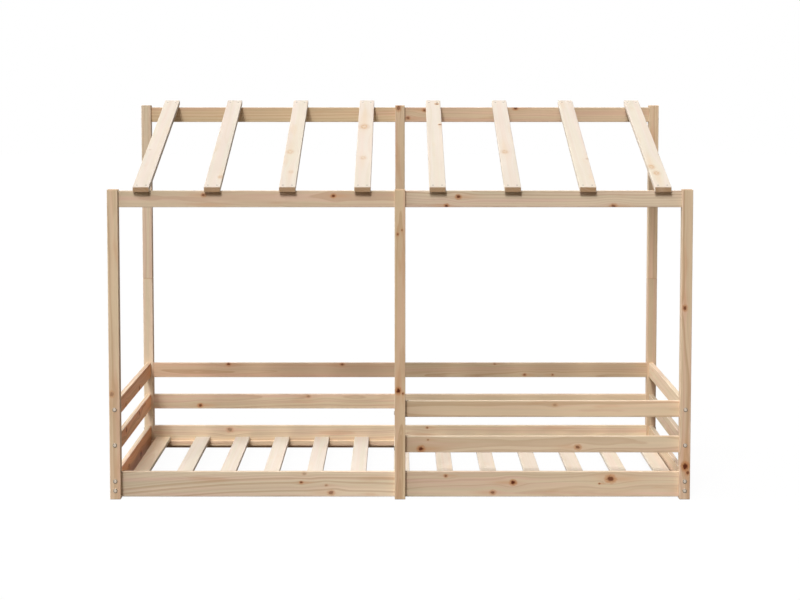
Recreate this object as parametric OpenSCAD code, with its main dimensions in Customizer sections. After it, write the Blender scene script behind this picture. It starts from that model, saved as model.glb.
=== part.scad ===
// House-frame bed for a child: six square posts, a lean-to slatted roof and a slatted base.
// X runs along the bed, the entrance side faces -Y, and the feet stand on Z = 0.

/* [Overall size] */
// Length over the outer faces of the end posts
bed_l = 2056; // [1856:1:2256]
// Width over the outer faces of the front and back posts
bed_w = 976; // [776:1:1276]
// Height of the front posts
front_h = 1100; // [950:1:1250]
// Height of the back posts
back_h = 1381; // [1300:1:1600]

/* [Timber] */
// Side of the square posts
post_side = 38; // [36:1:48]
// Thickness of the boards and rails
board_t = 18; // [16:1:22]
// Height of the guard rails and top rails
rail_h = 58; // [52:1:66]
// Height of the base boards
base_h = 90; // [86:1:110]
// Radius on the long edges of posts and boards
edge_r = 2; // [1:0.5:4]
// Radius on the long edges of slats and ledgers
slat_edge_r = 2; // [0.5:0.5:3]
// Bevel round the ends of posts and slats
end_bevel = 1.5; // [0.5:0.5:2.5]

/* [Board heights] */
// Underside of the base boards above the floor
base_z = 6; // [2:1:30]
// Underside of the lower guard rails
lower_rail_z = 165; // [150:1:190]
// Clear gap between the lower and the upper guard rails
rail_gap = 69; // [60:1:75]
// Top rail below the tops of the front posts
front_top_drop = 4; // [0:1:12]
// Top rail below the tops of the back posts
back_top_drop = 8; // [0:1:16]
// Height of the joint in the two-part back posts
splice_z = 690; // [560:1:760]

/* [Roof] */
// Number of roof slats
roof_slats = 8; // [6:2:10]
// Width of a roof slat
roof_slat_w = 58; // [50:1:70]
// Thickness of a roof slat
roof_slat_t = 18; // [16:1:22]
// End of the bed to the edge of the outermost roof slat
roof_margin = 77; // [70:1:120]
// How much nearer the middle the leftmost roof slat is screwed
left_slat_inset = 14; // [0:1:20]
// Roof slats past the outer faces of the posts, front and back
roof_overhang = 4; // [3:1:30]

/* [Slatted base] */
// Base slats in each half, besides the one in the middle
slats_per_half = 6; // [5:1:6]
// Width of a base slat
slat_w = 58; // [50:1:70]
// Thickness of a base slat
slat_t = 14; // [12:1:18]
// Left end board to the first base slat
slat_left_gap = 20; // [4:1:40]
// Right end board to the last base slat
slat_right_gap = 8; // [4:1:40]
// Height of the ledgers that carry the slats
ledger_h = 20; // [16:1:22]
// Depth of the ledgers, out from the base boards
ledger_d = 18; // [16:1:30]
// Underside of the ledgers above the underside of the base boards
ledger_lift = 11; // [4:1:14]

/* [Fasteners] */
// Diameter of the frame bolts and tie rods
bolt_d = 6; // [5:1:6]
// Diameter of a bolt head
bolt_head_d = 15.5; // [12:0.5:16]
// Thickness of a bolt head
bolt_head_t = 2.2; // [1.6:0.1:3]
// Thickness of a bolt head at its rim
bolt_rim_t = 0.8; // [0.5:0.1:1.4]
// Width of the bevelled ring round the flat middle of a bolt head
bolt_head_bevel = 3; // [1.5:0.25:3.5]
// Width across the flats of the hexagon socket in a bolt head
socket_flats = 4; // [3:0.5:4]
// Depth of the hexagon socket
socket_depth = 3; // [2:0.5:4]
// Diameter of a barrel nut
nut_d = 10; // [9:0.5:10]
// Wood left under a barrel nut's bore
nut_skin = 2; // [1:0.5:3]
// Barrel nut below the face of its board
nut_sink = 1; // [0.5:0.5:2]
// Width and depth of the screwdriver slot in a barrel nut
nut_slot = 1.2; // [0.8:0.1:1.6]
// End of a board to the axis of its barrel nut
nut_inset = 25; // [20:1:30]
// Thread past the axis of the barrel nut
thread_past_nut = 7; // [6:1:9]
// Diameter of a wooden dowel
dowel_d = 8; // [6:1:8]
// Depth of a dowel in its post
dowel_in_post = 12; // [8:1:12]
// Depth of a dowel in its board
dowel_in_board = 18; // [14:1:25]
// Bolts of the long rails below the middle of the rail, clear of the bolts of the end rails
bolt_stagger = 16; // [14:1:17]
// Dowels of the end rails above the middle of the rail
end_dowel_rise = 18; // [14:1:20]
// Distance between the two bolts at each end of a base board
base_bolt_gap = 34; // [32:1:36]
// Lower bolt of the end base boards above the underside of the board
end_base_bolt_rise = 25; // [24:1:27]
// Diameter of a wood screw
screw_d = 3.2; // [2.8:0.1:3.6]
// Diameter of a screw head
screw_head_d = 6.6; // [5.6:0.1:7.4]
// Length of a wood screw
screw_length = 30; // [27:0.5:31]
// Width of the blades of the cross recess in a screw head
recess_blade = 0.9; // [0.6:0.1:1.1]
// Span of the cross recess in a screw head
recess_span = 3.6; // [3:0.1:4.4]
// Depth of the cross recess in a screw head
recess_depth = 1.2; // [0.8:0.1:1.6]
// Screw through a ledger into its base board, beside the screw of the slat above it
ledger_screw_shift = 16; // [12:1:20]
// Distance between the two screws at each end of a roof slat
roof_screw_gap = 32; // [26:1:36]
// Lowest dowel of a base board above the underside of the board
base_dowel_rise = 16; // [14:1:20]

/* [Clearances] */
// Round a bolt or rod in wood, on the radius
bolt_clear = 0.5; // [0.3:0.1:0.6]
// Round a barrel nut, and round a bolt in its nut, on the radius
nut_clear = 0.1; // [0.05:0.05:0.2]
// Round a dowel, and past each of its ends
dowel_clear = 0.1; // [0.05:0.05:0.2]
// Round a screw in its hole
screw_clear = 0.1; // [0.05:0.05:0.2]
// Roof slats above the edges of the rails that carry them
roof_seat_gap = 0.1; // [0.05:0.05:0.3]
// Ends of the base slats and ledgers to the boards beside them
slat_end_gap = 1; // [0.5:0.5:3]

/* [Hidden] */
ROUND = 32;
over = 1;
pine = [0.86, 0.72, 0.56];
pale_pine = [0.93, 0.82, 0.67];
beech = [0.80, 0.62, 0.45];
zinc = [0.62, 0.61, 0.58];
left = -1;
right = 1;
front = -1;
back = 1;

// Faces and centre lines of the frame
post_x = bed_l / 2 - post_side / 2;
post_y = bed_w / 2 - post_side / 2;
inner_x = bed_l / 2 - post_side;
inner_y = bed_w / 2 - post_side;
board_y = inner_y + board_t / 2;
end_face_x = post_x - board_t / 2;

// Heights of the rails and the places of their bolts and dowels
upper_rail_z = lower_rail_z + rail_h + rail_gap;
front_top_z = front_h - front_top_drop - rail_h;
back_top_z = back_h - back_top_drop - rail_h;
end_base_bolt_z = base_z + end_base_bolt_rise;
base_bolt_z = end_base_bolt_z + base_bolt_gap / 2;
base_bolts = [base_bolt_z, base_bolt_z + base_bolt_gap];
base_dowels = [base_z + base_dowel_rise];

// A row of long boards: centre line, underside, height, bolts, dowels and the halves that have it
function base_row(y) = [y, base_z, base_h, base_bolts, base_dowels, [left, right]];
function rail_row(y, z, halves = [left, right]) =
    [y, z, rail_h, [z + rail_h / 2 - bolt_stagger], [z + rail_h / 2 + bolt_stagger], halves];
front_base = base_row(-board_y);
front_lower = rail_row(-board_y, lower_rail_z, [right]);
front_upper = rail_row(-board_y, upper_rail_z, [right]);
front_top = rail_row(-post_y, front_top_z);
back_base = base_row(board_y);
back_lower = rail_row(board_y, lower_rail_z);
back_upper = rail_row(board_y, upper_rail_z);
back_top = rail_row(post_y, back_top_z);
rows = [front_base, front_lower, front_upper, front_top, back_base, back_lower, back_upper, back_top];
function row_y(row) = row[0];
function row_z(row) = row[1];
function row_h(row) = row[2];
function row_bolts(row) = row[3];
function row_dowels(row) = row[4];
function has_half(row, side) = len(search(side, row[5])) > 0;
function rows_at(depth) = [for (row = rows) if (sign(row_y(row)) == depth) row];

// A board across each end: underside, height, bolts and dowels
function end_rail(z) = [z, rail_h, [z + rail_h / 2], [z + rail_h / 2 + end_dowel_rise]];
end_base = [base_z, base_h, [end_base_bolt_z, end_base_bolt_z + base_bolt_gap], []];
end_lower = end_rail(lower_rail_z);
end_upper = end_rail(upper_rail_z);
end_boards = [end_base, end_lower, end_upper];
function end_z(board) = board[0];
function end_h(board) = board[1];
function end_bolts(board) = board[2];
function end_dowels(board) = board[3];

// Fastener lengths and radii
bolt_length = post_side + nut_inset + thread_past_nut;
rod_length = post_side + 2 * (nut_inset + thread_past_nut);
bolt_hole_r = bolt_d / 2 + bolt_clear;
bolt_hole_depth = nut_inset + thread_past_nut + over;
nut_bore_depth = board_t - nut_skin;
nut_length = nut_bore_depth - nut_sink - over;
dowel_length = dowel_in_post + dowel_in_board;
screw_head_t = (screw_head_d - screw_d) / 2;
screw_tip = screw_d;

// Slope and places of the roof slats, which lie on the rounded front edges of the top rails
rail_edge_y = board_t / 2 - edge_r;
roof_rise = (back_top_z - front_top_z) / (2 * post_y);
roof_angle = atan(roof_rise);
function roof_under(y) = front_top_z + rail_h - edge_r + (edge_r + roof_seat_gap) / cos(roof_angle)
    + roof_rise * (y + post_y + rail_edge_y);
roof_low_y = -bed_w / 2 - roof_overhang;
roof_slat_length = -2 * roof_low_y / cos(roof_angle);
roof_outer_x = bed_l / 2 - roof_margin - roof_slat_w / 2;
roof_pitch = 2 * roof_outer_x / (roof_slats - 1);
function roof_x(i) = i * roof_pitch - roof_outer_x + (i == 0 ? left_slat_inset : 0);
function roof_slats_over(side) = [for (i = [0:roof_slats - 1]) if (sign(roof_x(i)) == side) i];
function roof_screw_along(depth) = (depth * post_y - roof_low_y) / cos(roof_angle);

// Places of the base slats and of the screws in the ledgers
base_slats = 2 * slats_per_half + 1;
first_slat_x = -end_face_x + slat_left_gap + slat_w / 2;
last_slat_x = end_face_x - slat_right_gap - slat_w / 2;
slat_pitch = (last_slat_x - first_slat_x) / (base_slats - 1);
ledger_z = base_z + ledger_lift;
ledger_y = inner_y - ledger_d / 2;
slat_z = ledger_z + ledger_h;
function slat_x(i) = first_slat_x + i * slat_pitch;
function slats_over(side) = [for (i = [0:base_slats - 1]) if ((slat_x(i) < 0 ? left : right) == side) i];
function ledger_screw_slats(side) =
    [for (k = [1:2:slats_per_half - 1]) side == left ? k : base_slats - 1 - k];

roof_slat_names = [for (i = [1:roof_slats]) str("roof_slat_", i)];
base_slat_names = [for (i = [1:base_slats]) str("base_slat_", i)];

// Rectangle with its corner at the origin and all four corners rounded
module rounded_rectangle(w, h, r) {
    translate([r, 0]) square([w - 2 * r, h]);
    translate([0, r]) square([w, h - 2 * r]);
    for (x = [r, w - r], y = [r, h - r])
        translate([x, y]) circle(r, $fn = ROUND);
}

// Planed bar standing on the origin, with rounded long edges and bevelled ends
module bar(w, h, length, r, bevel) {
    cut = bevel * sqrt(2);
    difference() {
        linear_extrude(length) rounded_rectangle(w, h, r);
        if (bevel > 0)
            for (z = [0, length]) {
                for (x = [0, w])
                    translate([x, h / 2, z]) rotate([0, 45, 0]) cube([cut, h + over, cut], center = true);
                for (y = [0, h])
                    translate([w / 2, y, z]) rotate([45, 0, 0]) cube([w + over, cut, cut], center = true);
            }
    }
}

// The same bar lying along X or along Y, with its lowest corner at the origin
module bar_x(length, w, h, r, bevel = 0) {
    rotate([90, 0, 90]) bar(w, h, length, r, bevel);
}
module bar_y(w, length, h, r, bevel = 0) {
    translate([0, length, 0]) rotate([90, 0, 0]) bar(w, h, length, r, bevel);
}

// Turns a child that points along +Z, so that it points along X or Y
module point_x(side) {
    rotate([0, 90 * side, 0]) children();
}
module point_y(depth) {
    rotate([-90 * depth, 0, 0]) children();
}

// Straight hole from the origin along +Z, opened slightly past both ends
module drilled(r, depth) {
    translate([0, 0, -over]) cylinder(h = depth + over, r = r, $fn = ROUND);
}

// Hole for one end of a dowel
module dowel_hole(depth) {
    drilled(dowel_d / 2 + dowel_clear, depth + dowel_clear);
}

// Furniture bolt: the head lies below the origin and the shank points along +Z
module bolt() {
    head_r = bolt_head_d / 2;
    difference() {
        union() {
            rotate_extrude($fn = ROUND) polygon([
                [0, -bolt_head_t], [head_r - bolt_head_bevel, -bolt_head_t],
                [head_r, -bolt_rim_t], [head_r, 0], [0, 0]]);
            cylinder(h = bolt_length, r = bolt_d / 2, $fn = ROUND);
        }
        translate([0, 0, -bolt_head_t - over])
            cylinder(h = socket_depth + over, r = socket_flats / sqrt(3), $fn = 6);
    }
}

// Barrel nut on +Z with its cross hole at the origin and a screwdriver slot in its outer end
module barrel_nut() {
    outer = board_t / 2 - nut_sink;
    difference() {
        translate([0, 0, outer - nut_length]) cylinder(h = nut_length, r = nut_d / 2, $fn = ROUND);
        rotate([0, 90, 0])
            cylinder(h = nut_d + over, r = bolt_d / 2 + nut_clear, center = true, $fn = ROUND);
        translate([0, 0, outer]) cube([nut_d + over, nut_slot, 2 * nut_slot], center = true);
    }
}

// Bore for a barrel nut, from the face of a board whose mid-plane holds the origin
module nut_bore() {
    translate([0, 0, board_t / 2 - nut_bore_depth])
        cylinder(h = nut_bore_depth + over, r = nut_d / 2 + nut_clear, $fn = ROUND);
}

// Wood screw: the head is flush with the origin and the point is down -Z
module wood_screw() {
    difference() {
        rotate_extrude($fn = ROUND) polygon([
            [0, 0], [screw_head_d / 2, 0], [screw_d / 2, -screw_head_t],
            [screw_d / 2, -screw_length + screw_tip], [0, -screw_length]]);
        for (turn = [0, 90])
            rotate(turn) cube([recess_span, recess_blade, 2 * recess_depth], center = true);
    }
}

// Countersunk pilot hole for one wood screw
module screw_hole() {
    r = screw_d / 2 + screw_clear;
    head_r = screw_head_d / 2 + screw_clear;
    depth = screw_length + 2 * screw_clear;
    rotate_extrude($fn = ROUND) polygon([
        [0, over], [head_r, over], [head_r, 0], [r, -screw_head_t], [r, -depth], [0, -depth]]);
}

// Places of one bolt, dowel or nut at each height in a list
module at_heights(x, y, heights) {
    for (z = heights)
        translate([x, y, z]) children();
}

// Holes in a post: column -1, 0 or 1 along the bed, depth front or back
module post_holes(column, depth) {
    for (row = rows_at(depth)) {
        halves = [for (side = [left, right]) if (has_half(row, side)) side];
        touching = [for (side = halves) if (column == 0 || column == side) side];
        face = column * inner_x;
        if (len(touching) > 0)
            at_heights(column * post_x - post_side / 2, row_y(row), row_bolts(row))
                point_x(right) drilled(bolt_hole_r, post_side + over);
        for (side = touching)
            at_heights(column == 0 ? side * post_side / 2 : face, row_y(row), row_dowels(row))
                point_x(column == 0 ? -side : side) dowel_hole(dowel_in_post);
    }
    if (column != 0)
        for (board = end_boards) {
            at_heights(column * post_x, depth * bed_w / 2, end_bolts(board))
                point_y(-depth) drilled(bolt_hole_r, post_side + over);
            at_heights(column * post_x, depth * inner_y, end_dowels(board))
                point_y(depth) dowel_hole(dowel_in_post);
        }
    if (depth == back)
        translate([column * post_x, depth * post_y, splice_z - rod_length / 2 - over])
            cylinder(h = rod_length + 2 * over, r = bolt_d / 2 + nut_clear, $fn = ROUND);
}

// A post, or one part of a post, between two heights
module post(column, depth, z_low, z_high) {
    color(pine) difference() {
        translate([column * post_x - post_side / 2, depth * post_y - post_side / 2, z_low])
            bar(post_side, post_side, z_high - z_low, edge_r, end_bevel);
        post_holes(column, depth);
    }
}

module front_left_post() { post(left, front, 0, front_h); }
module front_centre_post() { post(0, front, 0, front_h); }
module front_right_post() { post(right, front, 0, front_h); }
module back_left_post_lower() { post(left, back, 0, splice_z); }
module back_left_post_upper() { post(left, back, splice_z, back_h); }
module back_centre_post_lower() { post(0, back, 0, splice_z); }
module back_centre_post_upper() { post(0, back, splice_z, back_h); }
module back_right_post_lower() { post(right, back, 0, splice_z); }
module back_right_post_upper() { post(right, back, splice_z, back_h); }

// Holes at one end of a long board; inward is the direction along X into the board
module long_board_end_holes(row, end_x, inward) {
    at_heights(end_x, row_y(row), row_bolts(row))
        point_x(inward) drilled(bolt_hole_r, bolt_hole_depth);
    at_heights(end_x + inward * nut_inset, row_y(row), row_bolts(row))
        point_y(back) nut_bore();
    at_heights(end_x, row_y(row), row_dowels(row))
        point_x(inward) dowel_hole(dowel_in_board);
}

// A long board of one row, in the left or the right half
module long_board(row, side) {
    near = post_side / 2;
    length = inner_x - near;
    color(pine) difference() {
        translate([side == left ? -inner_x : near, row_y(row) - board_t / 2, row_z(row)])
            bar_x(length, board_t, row_h(row), edge_r);
        long_board_end_holes(row, side * near, side);
        long_board_end_holes(row, side * inner_x, -side);
        if (row == front_top || row == back_top)
            for (i = roof_slats_over(side))
                at_roof_slat(i) roof_screw_places([sign(row_y(row))]) screw_hole();
        if (row == front_base || row == back_base)
            ledger_screw_places(side, sign(row_y(row))) screw_hole();
    }
}

module front_left_base_board() { long_board(front_base, left); }
module front_right_base_board() { long_board(front_base, right); }
module back_left_base_board() { long_board(back_base, left); }
module back_right_base_board() { long_board(back_base, right); }
module front_lower_guard_rail() { long_board(front_lower, right); }
module front_upper_guard_rail() { long_board(front_upper, right); }
module back_left_lower_guard_rail() { long_board(back_lower, left); }
module back_right_lower_guard_rail() { long_board(back_lower, right); }
module back_left_upper_guard_rail() { long_board(back_upper, left); }
module back_right_upper_guard_rail() { long_board(back_upper, right); }
module front_left_top_rail() { long_board(front_top, left); }
module front_right_top_rail() { long_board(front_top, right); }
module back_left_top_rail() { long_board(back_top, left); }
module back_right_top_rail() { long_board(back_top, right); }

// A board across one end of the bed, from a front post to a back post
module end_board(board, side) {
    color(pine) difference() {
        translate([side * post_x - board_t / 2, -inner_y, end_z(board)])
            bar_y(board_t, 2 * inner_y, end_h(board), edge_r);
        for (depth = [front, back]) {
            at_heights(side * post_x, depth * inner_y, end_bolts(board))
                point_y(-depth) drilled(bolt_hole_r, bolt_hole_depth);
            at_heights(side * post_x, depth * (inner_y - nut_inset), end_bolts(board))
                point_x(side) nut_bore();
            at_heights(side * post_x, depth * inner_y, end_dowels(board))
                point_y(-depth) dowel_hole(dowel_in_board);
        }
    }
}

module left_end_base_board() { end_board(end_base, left); }
module left_end_lower_rail() { end_board(end_lower, left); }
module left_end_upper_rail() { end_board(end_upper, left); }
module right_end_base_board() { end_board(end_base, right); }
module right_end_lower_rail() { end_board(end_lower, right); }
module right_end_upper_rail() { end_board(end_upper, right); }

// Screws that hold a ledger to its base board, with their heads on its inner face under every other slat
module ledger_screw_places(side, depth) {
    face = depth * (inner_y - ledger_d);
    for (i = ledger_screw_slats(side))
        translate([slat_x(i) + side * ledger_screw_shift, face, ledger_z + ledger_h / 2])
            point_y(-depth) children();
}

// Screws that hold the ends of the base slats, driven up through the ledgers
module slat_screw_places(slats, depth) {
    for (i = slats)
        translate([slat_x(i), depth * ledger_y, ledger_z])
            rotate([180, 0, 0]) children();
}

// Ledger along the inner face of one base board
module ledger(side, depth) {
    inner_end = slat_end_gap / 2;
    length = end_face_x - slat_end_gap - inner_end;
    low_x = side == left ? -inner_end - length : inner_end;
    color(pine) difference() {
        translate([low_x, depth * ledger_y - ledger_d / 2, ledger_z])
            bar_x(length, ledger_d, ledger_h, slat_edge_r);
        ledger_screw_places(side, depth) screw_hole();
        slat_screw_places(slats_over(side), depth) screw_hole();
    }
}

module front_left_ledger() { ledger(left, front); }
module front_right_ledger() { ledger(right, front); }
module back_left_ledger() { ledger(left, back); }
module back_right_ledger() { ledger(right, back); }

// Cuts the end of a roof slat plumb, through the origin on its underside, and bevels the edges of the cut
module plumb_cut(depth) {
    cut = end_bevel * sqrt(2);
    reach = 4 * roof_slat_t;
    rotate([-roof_angle, 0, 0]) {
        translate([0, depth * reach / 2, 0]) cube([roof_slat_w + over, reach, reach], center = true);
        for (x = [-roof_slat_w / 2, roof_slat_w / 2])
            translate([x, 0, 0]) rotate(45) cube([cut, cut, reach], center = true);
        for (z = [0, roof_slat_t / cos(roof_angle)])
            translate([0, 0, z]) rotate([45 + roof_angle / 2, 0, 0])
                cube([roof_slat_w + over, cut, cut], center = true);
    }
}

// Frame of one roof slat: origin in the middle of its lower end, on the underside
module at_roof_slat(i) {
    translate([roof_x(i), roof_low_y, roof_under(roof_low_y)])
        rotate([roof_angle, 0, 0]) children();
}
module roof_screw_places(depths) {
    for (depth = depths, x = [-roof_screw_gap / 2, roof_screw_gap / 2])
        translate([x, roof_screw_along(depth), roof_slat_t]) children();
}

module roof_slat(i) {
    slant = roof_slat_t * tan(roof_angle);
    color(pale_pine) at_roof_slat(i) difference() {
        translate([-roof_slat_w / 2, -over, 0])
            bar_y(roof_slat_w, roof_slat_length + slant + 2 * over, roof_slat_t, slat_edge_r);
        plumb_cut(front);
        translate([0, roof_slat_length, 0]) plumb_cut(back);
        roof_screw_places([front, back]) screw_hole();
    }
}

module base_slat(i) {
    length = 2 * (inner_y - slat_end_gap);
    color(pale_pine) difference() {
        translate([slat_x(i) - slat_w / 2, -length / 2, slat_z])
            bar_y(slat_w, length, slat_t, slat_edge_r, end_bevel);
        for (depth = [front, back])
            slat_screw_places([i], depth) screw_hole();
    }
}

// Bolts from the outer faces of the end posts, and from the open side of the front centre post
module frame_bolts() {
    color(zinc) {
        for (row = rows, side = [left, right])
            if (has_half(row, side)) {
                at_heights(side * bed_l / 2, row_y(row), row_bolts(row)) point_x(-side) bolt();
                if (!has_half(row, -side))
                    at_heights(-side * post_side / 2, row_y(row), row_bolts(row)) point_x(side) bolt();
            }
        for (board = end_boards, column = [left, right], depth = [front, back])
            at_heights(column * post_x, depth * bed_w / 2, end_bolts(board)) point_y(-depth) bolt();
    }
}

// Barrel nuts in both ends of every board, with their slots towards the back or the outside
module barrel_nuts() {
    color(zinc) {
        for (row = rows, side = [left, right])
            if (has_half(row, side))
                for (x = [side * (post_side / 2 + nut_inset), side * (inner_x - nut_inset)])
                    at_heights(x, row_y(row), row_bolts(row)) point_y(back) barrel_nut();
        for (board = end_boards, column = [left, right], depth = [front, back])
            at_heights(column * post_x, depth * (inner_y - nut_inset), end_bolts(board))
                point_x(column) rotate(90) barrel_nut();
    }
}

// Rods that tie the boards on both sides of the centre posts, and the halves of the back posts
module tie_rods() {
    color(zinc) {
        for (row = rows)
            if (has_half(row, left) && has_half(row, right))
                at_heights(0, row_y(row), row_bolts(row))
                    point_x(right) cylinder(h = rod_length, r = bolt_d / 2, center = true, $fn = ROUND);
        for (column = [left, 0, right])
            translate([column * post_x, post_y, splice_z])
                cylinder(h = rod_length, r = bolt_d / 2, center = true, $fn = ROUND);
    }
}

// One dowel in the face of a post, pointing along +Z into the board
module dowel() {
    translate([0, 0, -dowel_in_post]) cylinder(h = dowel_length, r = dowel_d / 2, $fn = ROUND);
}

module wooden_dowels() {
    color(beech) {
        for (row = rows, side = [left, right])
            if (has_half(row, side)) {
                at_heights(side * post_side / 2, row_y(row), row_dowels(row)) point_x(side) dowel();
                at_heights(side * inner_x, row_y(row), row_dowels(row)) point_x(-side) dowel();
            }
        for (board = end_boards, column = [left, right], depth = [front, back])
            at_heights(column * post_x, depth * inner_y, end_dowels(board)) point_y(-depth) dowel();
    }
}

module wood_screws() {
    color(zinc) {
        for (i = [0:roof_slats - 1])
            at_roof_slat(i) roof_screw_places([front, back]) wood_screw();
        for (side = [left, right], depth = [front, back]) {
            ledger_screw_places(side, depth) wood_screw();
            slat_screw_places(slats_over(side), depth) wood_screw();
        }
    }
}

front_left_post();
front_centre_post();
front_right_post();
back_left_post_lower();
back_left_post_upper();
back_centre_post_lower();
back_centre_post_upper();
back_right_post_lower();
back_right_post_upper();
front_left_base_board();
front_right_base_board();
back_left_base_board();
back_right_base_board();
front_lower_guard_rail();
front_upper_guard_rail();
back_left_lower_guard_rail();
back_right_lower_guard_rail();
back_left_upper_guard_rail();
back_right_upper_guard_rail();
front_left_top_rail();
front_right_top_rail();
back_left_top_rail();
back_right_top_rail();
left_end_base_board();
left_end_lower_rail();
left_end_upper_rail();
right_end_base_board();
right_end_lower_rail();
right_end_upper_rail();
front_left_ledger();
front_right_ledger();
back_left_ledger();
back_right_ledger();
frame_bolts();
barrel_nuts();
tie_rods();
wooden_dowels();
wood_screws();
for (i = [0:roof_slats - 1])
    roof_slat(i);
for (i = [0:base_slats - 1])
    base_slat(i);
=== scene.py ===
import math
import random
from collections import namedtuple

import bpy
from mathutils import Matrix, Vector


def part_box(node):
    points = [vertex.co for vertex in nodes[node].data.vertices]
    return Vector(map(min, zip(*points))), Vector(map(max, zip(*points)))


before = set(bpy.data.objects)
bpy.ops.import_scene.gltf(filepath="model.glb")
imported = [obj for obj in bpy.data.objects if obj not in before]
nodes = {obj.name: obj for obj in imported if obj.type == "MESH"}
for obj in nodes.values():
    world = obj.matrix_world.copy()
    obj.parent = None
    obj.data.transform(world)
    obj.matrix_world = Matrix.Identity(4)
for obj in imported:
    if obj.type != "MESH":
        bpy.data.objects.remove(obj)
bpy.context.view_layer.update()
bpy.ops.object.select_all(action="DESELECT")

# Camera: straight in front of the long side, a little higher than the roof and tipped down a little
camera_y = -7.319
camera_z = 1.497
camera_tip = math.radians(4.33)
camera_lens = 87.87
camera_sensor = 36
camera_shift = -0.095

bpy.ops.object.camera_add(location=(0, camera_y, camera_z), rotation=(math.pi / 2 - camera_tip, 0, 0))
camera = bpy.context.object
camera.name = "camera"
camera.data.lens = camera_lens
camera.data.sensor_width = camera_sensor
camera.data.shift_y = camera_shift
bpy.context.scene.camera = camera
bpy.context.scene.view_settings.view_transform = "Standard"

# Noise in a material: waves a metre along each axis, detail, seed, and for patches the values of the noise
# at which they start and show fully
Pattern = namedtuple("Pattern", "waves detail seed start full", defaults=(None, None))

# Sockets of the Mix node for colours, by number because its other sockets have the same names
mix_factor = 0
mix_first = 6
mix_second = 7
mix_result = 2

white = (1, 1, 1, 1)


class Signal:
    """One output of a node, which takes part in sums as a number does."""

    def __init__(self, graph, socket):
        self.graph = graph
        self.socket = socket

    def __add__(self, other):
        return self.graph.maths("ADD", self, other)

    def __radd__(self, other):
        return self.graph.maths("ADD", other, self)

    def __sub__(self, other):
        return self.graph.maths("SUBTRACT", self, other)

    def __rsub__(self, other):
        return self.graph.maths("SUBTRACT", other, self)

    def __mul__(self, other):
        return self.graph.maths("MULTIPLY", self, other)

    def __rmul__(self, other):
        return self.graph.maths("MULTIPLY", other, self)

    def __truediv__(self, other):
        return self.graph.maths("DIVIDE", self, other)

    def __rtruediv__(self, other):
        return self.graph.maths("DIVIDE", other, self)

    def __abs__(self):
        return self.graph.maths("ABSOLUTE", self)


class Graph:
    """The node tree of a material or of the world, with the noise patterns that it may use."""

    def __init__(self, owner, patterns=None, seed=0.0):
        owner.use_nodes = True
        self.owner = owner
        self.tree = owner.node_tree
        self.tree.nodes.clear()
        self.patterns = patterns
        self.seed = seed

    def node(self, kind, settings=None, inputs=None, output=0):
        """Adds a node: its settings first, then a value or a link for each input."""
        made = self.tree.nodes.new(kind)
        for name, value in (settings or {}).items():
            setattr(made, name, value)
        for name, value in (inputs or {}).items():
            if isinstance(value, Signal):
                self.tree.links.new(value.socket, made.inputs[name])
            else:
                made.inputs[name].default_value = value
        return Signal(self, made.outputs[output]) if made.outputs else made

    def maths(self, operation, *values):
        return self.node("ShaderNodeMath", {"operation": operation}, dict(enumerate(values)))

    def vector(self, operation, output="Vector", **inputs):
        named = {"first": 0, "second": 1, "scale": "Scale"}
        return self.node("ShaderNodeVectorMath", {"operation": operation},
                         {named[name]: value for name, value in inputs.items()}, output)

    def parts(self, vector):
        """The three numbers of a vector."""
        return [self.node("ShaderNodeSeparateXYZ", inputs={0: vector}, output=axis) for axis in range(3)]

    def hypotenuse(self, first, second):
        return self.maths("SQRT", first * first + second * second)

    def largest(self, first, *others):
        for other in others:
            first = self.maths("MAXIMUM", first, other)
        return first

    def smooth(self, value, start, end):
        """Rises smoothly from 0 at start to 1 at end, or falls where start is the larger one."""
        return self.node("ShaderNodeMapRange", {"interpolation_type": "SMOOTHSTEP"},
                         {"Value": value, "From Min": start, "From Max": end})

    def mix(self, factor, first, second):
        """Blends two colours."""
        inputs = {mix_factor: factor, mix_first: first, mix_second: second}
        return self.node("ShaderNodeMix", {"data_type": "RGBA"}, inputs, mix_result)

    def noise(self, name, place):
        """Noise from 0 to 1 in one of the patterns."""
        pattern = self.patterns[name]
        shift = self.seed + pattern.seed
        stretched = self.vector("MULTIPLY", first=place, second=pattern.waves)
        moved = self.vector("ADD", first=stretched, second=(shift, 2 * shift, 3 * shift))
        inputs = {"Vector": moved, "Scale": 1.0, "Detail": pattern.detail}
        return self.node("ShaderNodeTexNoise", inputs=inputs)

    def swing(self, name, place):
        """Noise that swings by a half to either side of 0."""
        return self.noise(name, place) - 0.5

    def patches(self, name, place):
        """Patches of 1 on 0, where the noise is high."""
        pattern = self.patterns[name]
        return self.smooth(self.noise(name, place), pattern.start, pattern.full)

    def seen_by_eye(self):
        """1 for the camera's rays and for those that are mirrored or let through on their way, else 0."""
        kinds = [self.node("ShaderNodeLightPath", output=name)
                 for name in ("Is Camera Ray", "Is Glossy Ray", "Is Transmission Ray")]
        return self.maths("MINIMUM", kinds[0] + kinds[1] + kinds[2], 1.0)

    def material(self, inputs, height):
        """Ends the tree in a shader with these inputs and a relief in metres, and returns its material."""
        bump = self.node("ShaderNodeBump", inputs={"Strength": 1.0, "Distance": 1.0, "Height": height})
        surface = self.node("ShaderNodeBsdfPrincipled", inputs={**inputs, "Normal": bump})
        self.node("ShaderNodeOutputMaterial", inputs={"Surface": surface})
        return self.owner


# Light and stage
def sun(name, towards, strength, spread):
    """A far lamp that shines in the direction towards; the wider its spread in degrees, the softer it is."""
    bpy.ops.object.light_add(type="SUN")
    lamp = bpy.context.object
    lamp.name = name
    lamp.rotation_euler = Vector(towards).to_track_quat("-Z", "Y").to_euler()
    lamp.data.energy = strength
    lamp.data.angle = math.radians(spread)


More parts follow.
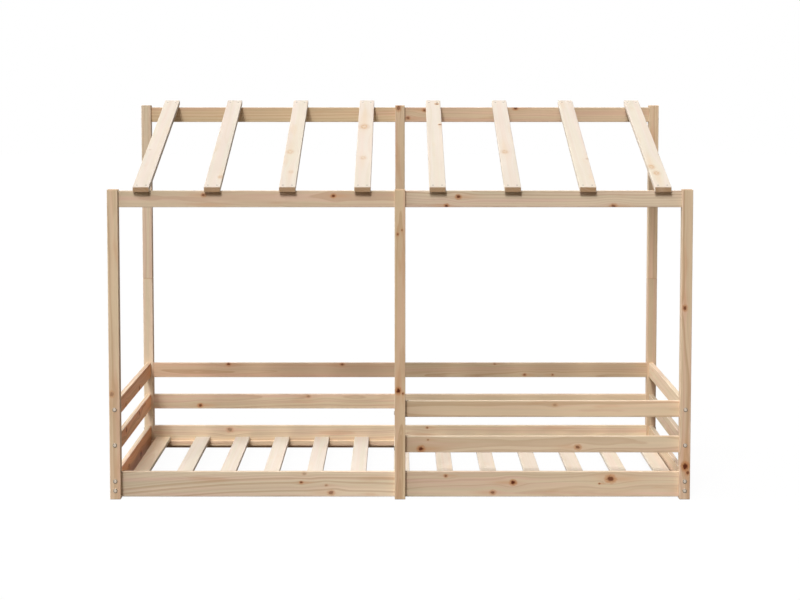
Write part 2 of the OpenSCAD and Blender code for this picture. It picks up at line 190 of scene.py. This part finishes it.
key_direction = (0.31, 1.0, -1.21)
sun("key_light", key_direction, strength=1.8, spread=11)
sun("key_softbox", key_direction, strength=1.2, spread=40)
sun("low_left_softbox", (1.0, 0.0, -0.18), strength=1.6, spread=45)
sun("high_left_softbox", (1.0, 0.1, -0.85), strength=0.95, spread=50)
sun("back_softbox", (0.0, -1.0, -0.35), strength=0.9, spread=40)

sky_light = (1.0, 0.74, 0.56, 1)
sky_strength = 0.10
floor_size = 60
floor_tone = (0.16, 0.13, 0.10, 1)
floor_glow = 0.97


def studio_sky():
    """A world that looks white and lights the bed with a weak, warm sky."""
    sky = Graph(bpy.data.worlds.new("studio"))
    lit = sky.node("ShaderNodeBackground", inputs={"Color": sky_light, "Strength": sky_strength})
    shown = sky.node("ShaderNodeBackground", inputs={"Color": white, "Strength": 1.0})
    both = sky.node("ShaderNodeMixShader", inputs={0: sky.seen_by_eye(), 1: lit, 2: shown})
    sky.node("ShaderNodeOutputWorld", inputs={"Surface": both})
    return sky.owner


def floor_paint():
    """Looks white but for the bed's shadow, and throws back the light as a brown floor does."""
    paint = Graph(bpy.data.materials.new("floor_paint"))
    bounced = paint.node("ShaderNodeBsdfDiffuse", inputs={"Color": floor_tone})
    shaded = paint.node("ShaderNodeBsdfDiffuse", inputs={"Color": white})
    glow = paint.node("ShaderNodeEmission", inputs={"Color": white, "Strength": 1.0})
    shown = paint.node("ShaderNodeMixShader", inputs={0: floor_glow, 1: shaded, 2: glow})
    both = paint.node("ShaderNodeMixShader", inputs={0: paint.seen_by_eye(), 1: bounced, 2: shown})
    paint.node("ShaderNodeOutputMaterial", inputs={"Surface": both})
    return paint.owner


bpy.context.scene.world = studio_sky()
bpy.ops.mesh.primitive_plane_add(size=floor_size)
floor = bpy.context.object
floor.name = "floor"
floor.data.materials.append(floor_paint())


# Where each piece of timber lies
front_rail_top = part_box("front_left_top_rail")[1]
back_rail_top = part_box("back_left_top_rail")[1]
roof_angle = math.atan2(back_rail_top.z - front_rail_top.z, back_rail_top.y - front_rail_top.y)


class Timber:
    """Size and directions of one piece: along the grain, across its wide face and through it."""

    def __init__(self, name):
        low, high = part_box(name)
        size = high - low
        self.centre = (low + high) / 2
        if name.startswith("roof_slat"):
            # The box of a slanting slat whose ends are plumb
            length = size.y / math.cos(roof_angle)
            thickness = (size.z - size.y * math.tan(roof_angle)) * math.cos(roof_angle)
            self.size = Vector((length, size.x, thickness))
            self.along = Vector((0, math.cos(roof_angle), math.sin(roof_angle)))
            self.across = Vector((1, 0, 0))
        else:
            upright_first = [2, 0, 1]
            longest_first = sorted(range(3), key=lambda axis: -size[axis])
            order = upright_first if "post" in name else longest_first
            self.size = Vector([size[axis] for axis in order])
            self.along, self.across = (Matrix.Identity(3)[axis].copy() for axis in order[:2])
        self.through = self.along.cross(self.across)
        self.turn = Matrix((self.along, self.across, self.through)).transposed().to_euler()


# Knots: distance from the left, front or lower end of the piece, offset from its middle line, radius, all in
# metres, and darkness
knots = {
    "front_left_post": [(0.377, -0.009, 0.008, 0.45)],
    "front_centre_post": [(0.389, -0.006, 0.008, 1.0), (0.379, 0.010, 0.004, 0.7),
                          (0.944, -0.008, 0.004, 0.7), (0.958, 0.007, 0.003, 0.6)],
    "front_right_post": [(0.119, 0.001, 0.011, 1.0), (0.096, 0.010, 0.006, 0.8),
                         (0.683, -0.006, 0.007, 0.8)],
    "back_centre_post_upper": [(0.681, -0.006, 0.009, 0.6)],
    "front_left_top_rail": [(0.756, 0.011, 0.006, 0.9), (0.300, 0.014, 0.006, 0.7)],
    "front_right_top_rail": [(0.186, 0.008, 0.007, 0.9), (0.144, -0.024, 0.006, 0.9),
                             (0.731, -0.026, 0.008, 0.7)],
    "back_right_top_rail": [(0.013, -0.013, 0.006, 0.6), (0.078, 0.018, 0.006, 0.7),
                            (0.440, 0.026, 0.007, 0.8)],
    "back_left_upper_guard_rail": [(0.302, 0.024, 0.006, 0.8), (0.758, 0.023, 0.006, 0.7)],
    "back_left_lower_guard_rail": [(0.187, -0.016, 0.007, 0.9), (0.622, 0.020, 0.006, 0.4)],
    "back_left_base_board": [(0.306, 0.028, 0.009, 0.45)],
    "back_right_base_board": [(0.090, 0.036, 0.004, 0.7)],
    "front_left_base_board": [(0.639, 0.006, 0.0045, 0.8), (0.745, -0.031, 0.008, 0.6),
                              (0.728, -0.004, 0.004, 0.4), (0.650, 0.038, 0.006, 0.3)],
    "front_right_base_board": [(0.144, 0.030, 0.005, 0.7), (0.383, 0.006, 0.008, 1.0),
                               (0.729, 0.019, 0.012, 0.85), (0.311, -0.030, 0.007, 0.65),
                               (0.690, 0.002, 0.003, 0.8)],
    "front_lower_guard_rail": [(0.056, -0.016, 0.009, 0.95), (0.612, -0.010, 0.008, 0.7),
                               (0.080, 0.016, 0.003, 0.5)],
    "front_upper_guard_rail": [(0.530, 0.014, 0.006, 0.3)],
    "back_right_upper_guard_rail": [(0.481, -0.019, 0.005, 0.7), (0.593, -0.019, 0.004, 0.6),
                                    (0.361, 0.025, 0.004, 0.5)],
    "left_end_upper_rail": [(0.555, -0.017, 0.009, 0.9), (0.189, -0.020, 0.008, 0.9)],
    "left_end_lower_rail": [(0.555, 0.014, 0.009, 0.9), (0.195, 0.013, 0.010, 0.9)],
    "left_end_base_board": [(0.582, -0.009, 0.012, 0.9), (0.250, 0.012, 0.008, 0.6)],
    "roof_slat_1": [(0.411, -0.016, 0.006, 0.15)],
    "roof_slat_2": [(0.108, 0.021, 0.008, 0.8)],
    "roof_slat_3": [(0.387, -0.010, 0.012, 0.7), (0.163, 0.005, 0.008, 0.5)],
    "roof_slat_4": [(0.688, -0.005, 0.015, 1.0), (0.319, -0.003, 0.010, 0.6)],
    "roof_slat_5": [(0.979, 0.014, 0.007, 0.9), (0.713, 0.022, 0.006, 1.0)],
    "roof_slat_6": [(0.387, -0.009, 0.011, 0.8)],
    "roof_slat_7": [(0.307, 0.025, 0.006, 0.3)],
    "roof_slat_8": [(0.218, -0.016, 0.011, 1.0), (0.150, -0.006, 0.011, 0.9)],
}

# Knots are stretched along the grain. Those of a slat are ringed where one is this large: longer, with a
# light middle and a faint halo.
knot_stretch = 1.25
ringed_stretch = 1.8
ringed_radius = 0.0075

# Parts of a knot, in its own radii: its raggedness, its edges, its reddish streak and the bend of the grain
rim_swing = 1.2
core_edge = (1.0, 0.5)
ring_hole_edge = (0.35, 0.70)
halo_edge = (1.9, 0.9)
streak_lean = 2.5
streak_size = (5.0, 1.1)
bend_size = (5.0, 3.0)
bend_strength = 0.85
halo_strength = 0.85
ringed_halo_strength = 0.30

# Years of growth: how far the log bends across and through the piece and a ring strays, both in metres, how
# uneven the years are, the part of a year in which the late growth comes and goes, and the faintest year
log_bend = (0.016, 0.010)
ring_stray = 0.005
year_swing = 1.6
year_swing_rate = 0.37
late_start = (0.35, 0.88)
late_stop = (1.0, 0.92)
faintest_year = 0.35

# Cosines of a face's turn at which it starts and fully counts as an end or as a wide face, and the places
# beside a long edge, in metres, where the band of sanding wear and painted highlight starts and is full
end_turn = (0.55, 0.85)
wide_turn = (0.5, 0.85)
rubbed_and_highlit_band = (0.005, 0.0005)

# Noise in the wood, its waves along, across and through the piece, and in its fasteners
wood_patterns = {
    "ragged": Pattern((110, 260, 260), 3, 0),
    "bend": Pattern((2.2, 0, 0), 1, 3),
    "stray": Pattern((5, 22, 22), 2, 5),
    "rosy": Pattern((1.5, 70, 70), 3, 11, 0.42, 0.66),
    "tan": Pattern((1.1, 48, 48), 3, 17, 0.42, 0.66),
    "cloud": Pattern((2.3, 14, 14), 2, 23),
    "flush": Pattern((4, 26, 26), 2, 27, 0.60, 0.74),
    "fibre": Pattern((30, 1100, 1100), 3, 29),
    "canals": Pattern((110, 1700, 1700), 1, 31, 0.66, 0.76),
    "rubbed_and_highlit": Pattern((14, 60, 60), 2, 37, 0.42, 0.62),
}
steel_patterns = {
    "cast": Pattern((160, 160, 160), 2, 0, 0.35, 0.65),
    "scratches": Pattern((900, 900, 2600), 3, 5),
    "stains": Pattern((700, 700, 700), 2, 9, 0.62, 0.72),
}

# Marks of the wood in the order in which they are laid on, with their strength and their tone
wood_layers = [
    ("rosy", 0.75, "rosy"), ("tan", 0.75, "tan"), ("flush", 0.45, "flush"), ("rings", 0.72, "late"),
    ("canals", 0.22, "late"), ("end_grain", 1.0, "end"), ("rubbed_and_highlit", 0.35, "arris_and_highlight"),
    ("streak", 0.65, "flush"), ("halo", 1.0, "knot"), ("core", 1.0, "core"),
]

# How much less an end takes on its tone outside late growth, and how far brightness swings along the grain
late_in_end_grain = 0.15
cloud_swing = 0.20
fibre_swing = 0.07

# Gloss and roughness of the wood, what its marks add to the roughness, and how high in metres they stand
wood_gloss = 0.08
wood_roughness = 0.62
mark_roughness = {"late": -0.10, "end": 0.2, "rubbed_and_highlit": 0.08, "fibre": 0.12, "core": -0.12}
mark_height = {"late": 0.00006, "fibre": 0.00005, "canals": -0.00008, "rubbed_and_highlit": 0.00005,
               "ragged_end": 0.0002, "core": 0.00015, "halo": -0.0001}

# Colours of the wood: early growth, late growth, the wide streaks that run along it, its reddish patches,
# its ends, the halo and the core of a knot, and the sanded edges, lightened with a painted highlight
pine_tones = {
    "early": (0.755, 0.605, 0.435, 1),
    "late": (0.530, 0.350, 0.215, 1),
    "rosy": (0.745, 0.520, 0.400, 1),
    "tan": (0.675, 0.560, 0.390, 1),
    "flush": (0.640, 0.380, 0.220, 1),
    "end": (0.600, 0.390, 0.225, 1),
    "knot": (0.560, 0.250, 0.105, 1),
    "core": (0.120, 0.030, 0.013, 1),
    "arris_and_highlight": (0.900, 0.780, 0.640, 1),
}
pale_tones = {
    "early": (0.800, 0.720, 0.630, 1),
    "late": (0.720, 0.590, 0.440, 1),
    "rosy": (0.800, 0.680, 0.590, 1),
    "tan": (0.770, 0.710, 0.580, 1),
    "flush": (0.780, 0.620, 0.450, 1),
    "end": (0.450, 0.270, 0.135, 1),
    "knot": (0.600, 0.340, 0.150, 1),
    "core": (0.120, 0.030, 0.013, 1),
    "arris_and_highlight": (0.930, 0.840, 0.730, 1),
}
beech_tones = {
    "early": (0.640, 0.430, 0.290, 1),
    "late": (0.520, 0.320, 0.200, 1),
    "rosy": (0.620, 0.380, 0.250, 1),
    "tan": (0.600, 0.440, 0.300, 1),
    "flush": (0.580, 0.360, 0.230, 1),
    "end": (0.500, 0.330, 0.210, 1),
    "arris_and_highlight": (0.680, 0.470, 0.320, 1),
}

# Kinds of pine as the wide faces differ. The golden kind is partly a yellower board and partly painted
# light; the russet kind is painted warm shade that lies on one wide face only.
plain = (1.00, 1.00, 1.00, 1)
honey = (1.00, 0.97, 0.93, 1)
cream = (1.00, 1.03, 1.06, 1)
rose = (1.00, 0.90, 0.86, 1)
amber = (1.00, 0.95, 0.86, 1)
painted_warm_shade = (1.27, 0.90, 0.71, 1)
golden_and_painted_light = (1.10, 1.02, 0.90, 1)


class Grain(Graph):
    """The node tree of one piece of timber, with places along, across and through the piece."""

    def __init__(self, name, timber, seed):
        super().__init__(bpy.data.materials.new(name), wood_patterns, seed)
        self.timber = timber
        place = self.node("ShaderNodeTexCoord", output="Object")
        self.place = self.node("ShaderNodeMapping", {"vector_type": "TEXTURE"},
                               {"Vector": place, "Location": timber.centre, "Rotation": timber.turn})
        self.along, self.across, self.through = self.parts(self.place)
        self.normal = self.node("ShaderNodeTexCoord", output="Normal")
        self.ragged = self.swing("ragged", self.place)

    def disc(self, reach, edge, radius):
        """1 inside an edge and 0 outside it, or the other way round; the edge is in radii."""
        return self.smooth(reach, edge[0] * radius, edge[1] * radius)

    def mound(self, ahead, aside, size, radius):
        """1 in its middle and less outwards; its size along and across the grain is in radii."""
        far = ahead * ahead / (size[0] * radius) ** 2 + aside * aside / (size[1] * radius) ** 2
        return self.maths("EXPONENT", 0 - far)

    def flow_and_knots(self, knots_here, ringed):
        """The grain's way round the knots, and marks of their cores, halos and streaks."""
        stretch = ringed_stretch if ringed else knot_stretch
        halo_depth = ringed_halo_strength if ringed else halo_strength
        flow = self.across
        marks = {}
        for number, (distance, offset, radius, darkness) in enumerate(knots_here):
            ahead = (self.along - (distance - self.timber.size.x / 2)) / stretch
            aside = self.across - offset
            lean = ahead + streak_lean * radius * (1 if number % 2 else -1)
            reach = self.hypotenuse(ahead, aside) + self.ragged * (rim_swing * radius)
            flow = flow - aside * self.mound(ahead, aside, bend_size, radius) * bend_strength
            core = self.disc(reach, core_edge, radius)
            if ringed:
                core = core * self.disc(reach, ring_hole_edge, radius)
            knot = {"core": core * darkness,
                    "halo": self.disc(reach, halo_edge, radius) * (halo_depth * darkness),
                    "streak": self.mound(lean, aside, streak_size, radius) * darkness}
            marks = {part: self.largest(marks.get(part, 0.0), mark) for part, mark in knot.items()}
        return flow, marks

    def late_growth(self, flow, growth):
        """Mark of the dark part of each year's ring round the heart of the log."""
        heart, slope, bow, ring_width = growth
        bend = self.swing("bend", self.place)
        stray = self.swing("stray", self.place)
        beside = flow - heart[0] - self.along * slope[0] + self.along * self.along * bow + bend * log_bend[0]
        below = self.through - heart[1] - self.along * slope[1] + bend * log_bend[1]
        years = (self.hypotenuse(beside, below) + stray * ring_stray) / ring_width
        unevenness = self.node("ShaderNodeTexNoise", {"noise_dimensions": "1D"},
                               {"W": years * year_swing_rate + self.seed, "Detail": 1.0})
        years = years + unevenness * year_swing
        part_of_year = self.maths("FRACT", years)
        late = self.smooth(part_of_year, *late_start) * self.smooth(part_of_year, *late_stop)
        strong = self.node("ShaderNodeTexWhiteNoise", {"noise_dimensions": "1D"},
                           {"W": self.maths("FLOOR", years) + self.seed}, output="Value")
        return late * (faintest_year + strong * (1 - faintest_year))

    def facing(self, direction):
        """1 on faces that look along a direction, -1 on those that look against it."""
        return self.vector("DOT_PRODUCT", "Value", first=self.normal, second=direction)

    def near_edges(self):
        """Mark of the band along the long edges."""
        half = self.timber.size / 2
        bands = [self.smooth(abs(place), reach - rubbed_and_highlit_band[0], reach - rubbed_and_highlit_band[1])
                 for place, reach in ((self.across, half.y), (self.through, half.z))]
        return bands[0] * bands[1]


def total(marks, amounts):
    """Sum of the marks that a piece has, each times its amount."""
    return sum(marks[mark] * amount for mark, amount in amounts.items() if mark in marks)


def wood(name, timber, tones, growth, contrast, look, seed):
    """Planed timber cut from a log whose heart runs beside the piece.

    growth: place of the heart, its slope against the piece, its bow and the width of a year's growth.
    contrast: strength of the rings.
    look: cast of the wide faces, brightness and how much brighter the piece grows in a metre."""
    cast, shade, drift = look
    knots_here = knots.get(name, [])
    ringed = tones is pale_tones and any(radius > ringed_radius for _, _, radius, _ in knots_here)
    if ringed:
        tones = {**tones, "core": tones["knot"]}
    grain = Grain(name, timber, seed)
    flow, marks = grain.flow_and_knots(knots_here, ringed)
    late = grain.late_growth(flow, growth)
    end = grain.smooth(abs(grain.facing(timber.along)), *end_turn)
    stretched = grain.node("ShaderNodeCombineXYZ", inputs={0: grain.along, 1: flow, 2: grain.through})
    for mark in ("rosy", "tan", "flush", "canals"):
        marks[mark] = grain.patches(mark, stretched)
    # Sanding wear along the long edges, which the arris tone also lightens as a painted highlight
    marks["rubbed_and_highlit"] = grain.near_edges() * grain.patches("rubbed_and_highlit", grain.place)
    marks["rings"] = late * contrast
    marks["end_grain"] = end * (1 - late_in_end_grain + late * late_in_end_grain)
    marks["late"] = late
    marks["end"] = end
    marks["fibre"] = grain.swing("fibre", stretched)
    marks["ragged_end"] = grain.ragged * end

    colour = tones["early"]
    for mark, strength, tone in wood_layers:
        if mark in marks:
            colour = grain.mix(marks[mark] * strength, colour, tones[tone])
    clouds = 1 + grain.swing("cloud", stretched) * cloud_swing
    level = clouds * (1 + marks["fibre"] * fibre_swing) * (1 + grain.along * drift) * shade
    turned = grain.facing(timber.through)
    # The painted warm shade lies only on the wide face that looks along through, the inner one of a left end
    # piece; every other cast lies on both wide faces
    wide = grain.smooth(turned if cast is painted_warm_shade else abs(turned), *wide_turn)
    tint = grain.mix(wide, white, cast)
    colour = grain.vector("SCALE", first=colour, scale=level)
    colour = grain.vector("MULTIPLY", first=colour, second=tint)

    rough = wood_roughness + total(marks, mark_roughness)
    inputs = {"Base Color": colour, "Roughness": rough, "Specular IOR Level": wood_gloss}
    return grain.material(inputs, total(marks, mark_height))


# Colours of zinc-plated steel and the painted shade of its bevels, and how strongly its stains and bevels
# take on theirs
zinc_warm = (0.67, 0.56, 0.45, 1)
zinc_cool = (0.57, 0.51, 0.44, 1)
zinc_stain = (0.26, 0.22, 0.17, 1)
zinc_bevel_painted_shade = (0.20, 0.165, 0.12, 1)
stain_strength = 0.35
bevel_shade_strength = 0.9

# Cosines of a face's turn from the nearest axis at which it starts and fully counts as a bevel
bevel_turn = (0.985, 0.93)

# What scratches and stains add to the roughness of zinc and how high in metres they stand, and what a bevel
# takes from its metal look
zinc_roughness = 0.30
scratch_roughness = 0.14
stain_roughness = 0.15
scratch_height = 0.00003
stain_height = -0.00004
bevel_dullness = 0.7


def zinc_steel(name, brightness):
    """Zinc-plated steel: lightly scratched and stained, a little yellow, duller on bevels and darkened there
    with painted shade.
    """
    zinc = Graph(bpy.data.materials.new(name), steel_patterns)
    place = zinc.node("ShaderNodeTexCoord", output="Object")
    normal = zinc.node("ShaderNodeTexCoord", output="Normal")
    scratches = zinc.noise("scratches", place)
    stains = zinc.patches("stains", place)
    bevel = zinc.smooth(zinc.largest(*[abs(part) for part in zinc.parts(normal)]), *bevel_turn)
    colour = zinc.mix(zinc.patches("cast", place), zinc_warm, zinc_cool)
    colour = zinc.mix(stains * stain_strength, colour, zinc_stain)
    # Bevels darkened with painted shade
    colour = zinc.mix(bevel * bevel_shade_strength, colour, zinc_bevel_painted_shade)
    colour = zinc.vector("SCALE", first=colour, scale=brightness)
    rough = zinc_roughness + scratches * scratch_roughness + stains * stain_roughness
    metal = 1 - bevel * bevel_dullness
    height = scratches * scratch_height + stains * stain_height
    return zinc.material({"Base Color": colour, "Metallic": metal, "Roughness": rough}, height)


def dress(name, material):
    """Gives a CAD node a material."""
    for slot in nodes[name].material_slots:
        slot.material = material


# Kind and brightness of the pieces that stand out, and how much brighter they grow in a metre
looks = {
    "front_left_post": (honey, 1.00, 0.0), "front_centre_post": (amber, 0.91, 0.0),
    "front_right_post": (honey, 0.95, 0.0),
    "front_left_top_rail": (plain, 0.96, 0.0), "front_right_top_rail": (cream, 0.96, 0.08),
    "front_left_base_board": (cream, 0.99, 0.20), "front_right_base_board": (plain, 0.98, 0.15),
    "front_lower_guard_rail": (plain, 0.97, 0.12), "front_upper_guard_rail": (honey, 0.98, 0.20),
    "back_left_upper_guard_rail": (rose, 0.84, -0.30), "back_right_upper_guard_rail": (honey, 0.80, 0.20),
    "back_left_lower_guard_rail": (plain, 1.02, 0.15), "back_right_lower_guard_rail": (plain, 1.00, 0.20),
    # The back base boards are brightened with painted light
    "back_left_base_board": (cream, 1.18, 0.10), "back_right_base_board": (cream, 1.10, 0.10),
    "back_left_top_rail": (amber, 0.97, 0.08), "back_right_top_rail": (honey, 0.95, 0.12),
    "back_left_post_upper": (cream, 0.97, 0.0), "back_left_post_lower": (cream, 1.06, 0.0),
    # The upper back right post is brightened with painted light against the shadow of the last roof slat
    "back_right_post_upper": (honey, 1.08, 0.0), "back_right_post_lower": (honey, 0.98, 0.0),
    "back_centre_post_upper": (honey, 0.90, 0.0),
    # The ledgers are brightened with painted light
    "back_left_ledger": (honey, 1.30, 0.0), "back_right_ledger": (honey, 1.30, 0.0),
    # The russet cast of the left end pieces is painted warm shade on their inner faces
    "left_end_upper_rail": (painted_warm_shade, 1.00, 0.0), "left_end_lower_rail": (painted_warm_shade, 1.00, 0.35),
    # The left end base board darkens towards the back post with painted shade
    "left_end_base_board": (painted_warm_shade, 1.00, -0.45),
    "right_end_upper_rail": (cream, 1.08, 0.0), "right_end_lower_rail": (cream, 0.81, 0.0),
    # The first base slat is partly a yellower board and partly brightened with painted light against the
    # shade of the left end boards
    "base_slat_1": (golden_and_painted_light, 1.15, 0.0), "base_slat_5": (plain, 0.97, 0.0), "base_slat_6": (plain, 0.97, 0.0),
    "base_slat_7": (plain, 0.95, 0.0), "base_slat_8": (honey, 1.00, 0.0), "base_slat_9": (honey, 0.92, 0.0),
    "base_slat_10": (honey, 0.93, 0.0), "base_slat_11": (honey, 0.92, 0.0),
    "base_slat_12": (honey, 0.93, 0.0), "base_slat_13": (honey, 0.92, 0.0),
}
roof_slat_shade = 0.86

# Growth of the board whose grain stands out: heart, slope, bow and the width of a year's growth
growths = {
    "front_left_base_board": ((-0.07, 0.05), (0.045, 0.010), 0.08, 0.012),
}

# Ranges from which the other pieces are drawn by chance: where the heart lies beside the piece and to either
# side of its wide faces, the slopes and the bow of the log, the width of a year's growth and the brightness
heart_beside = 0.08
heart_apart = (0.02, 0.07)
slope_across = 0.010
slope_through = 0.015
bow_range = 0.03
year_range = (0.007, 0.011)
shade_range = (0.98, 1.02)

# Strength of the rings, and the width of a year's growth in a post as a share of that in a board
ring_contrast = 1.0
left_end_contrast = 1.4
slat_contrast = 0.45
post_year = 0.6


def contrast_of(name):
    if name.startswith("left_end"):
        return left_end_contrast
    if "slat" in name and name != "base_slat_1":
        return slat_contrast
    return ring_contrast


def tones_of(name):
    if name == "wooden_dowels":
        return beech_tones
    return pale_tones if "slat" in name else pine_tones


def growth_of(name, draw):
    """Growth of a piece: drawn by chance, unless its grain stands out."""
    heart = (draw.uniform(-heart_beside, heart_beside), draw.choice((-1, 1)) * draw.uniform(*heart_apart))
    slope = (draw.uniform(-slope_across, slope_across), draw.uniform(-slope_through, slope_through))
    bow = draw.uniform(-bow_range, bow_range)
    year = draw.uniform(*year_range) * (post_year if "post" in name else 1.0)
    return growths.get(name, (heart, slope, bow, year))


def look_of(name, draw):
    """Look of a piece: plain and drawn by chance, unless it stands out."""
    kind, shade, drift = looks.get(name, (plain, draw.uniform(*shade_range), 0.0))
    if name.startswith("roof_slat"):
        shade = shade * roof_slat_shade
    return kind, shade, drift


bright_zinc = zinc_steel("bright_zinc_steel", brightness=1.0)
dull_zinc = zinc_steel("dull_zinc_steel", brightness=0.5)
fasteners = {"frame_bolts": bright_zinc, "barrel_nuts": bright_zinc, "tie_rods": bright_zinc,
             "wood_screws": dull_zinc}
for name, steel in fasteners.items():
    dress(name, steel)

# Each piece of timber has its own grain, its noise set apart from the others' by its seed
seed_step = 7.0
timber_names = [name for name in sorted(nodes) if name not in fasteners]
for number, name in enumerate(timber_names):
    draw = random.Random(number + 1)
    growth = growth_of(name, draw)
    look = look_of(name, draw)
    seed = seed_step * number
    dress(name, wood(name, Timber(name), tones_of(name), growth, contrast_of(name), look, seed))
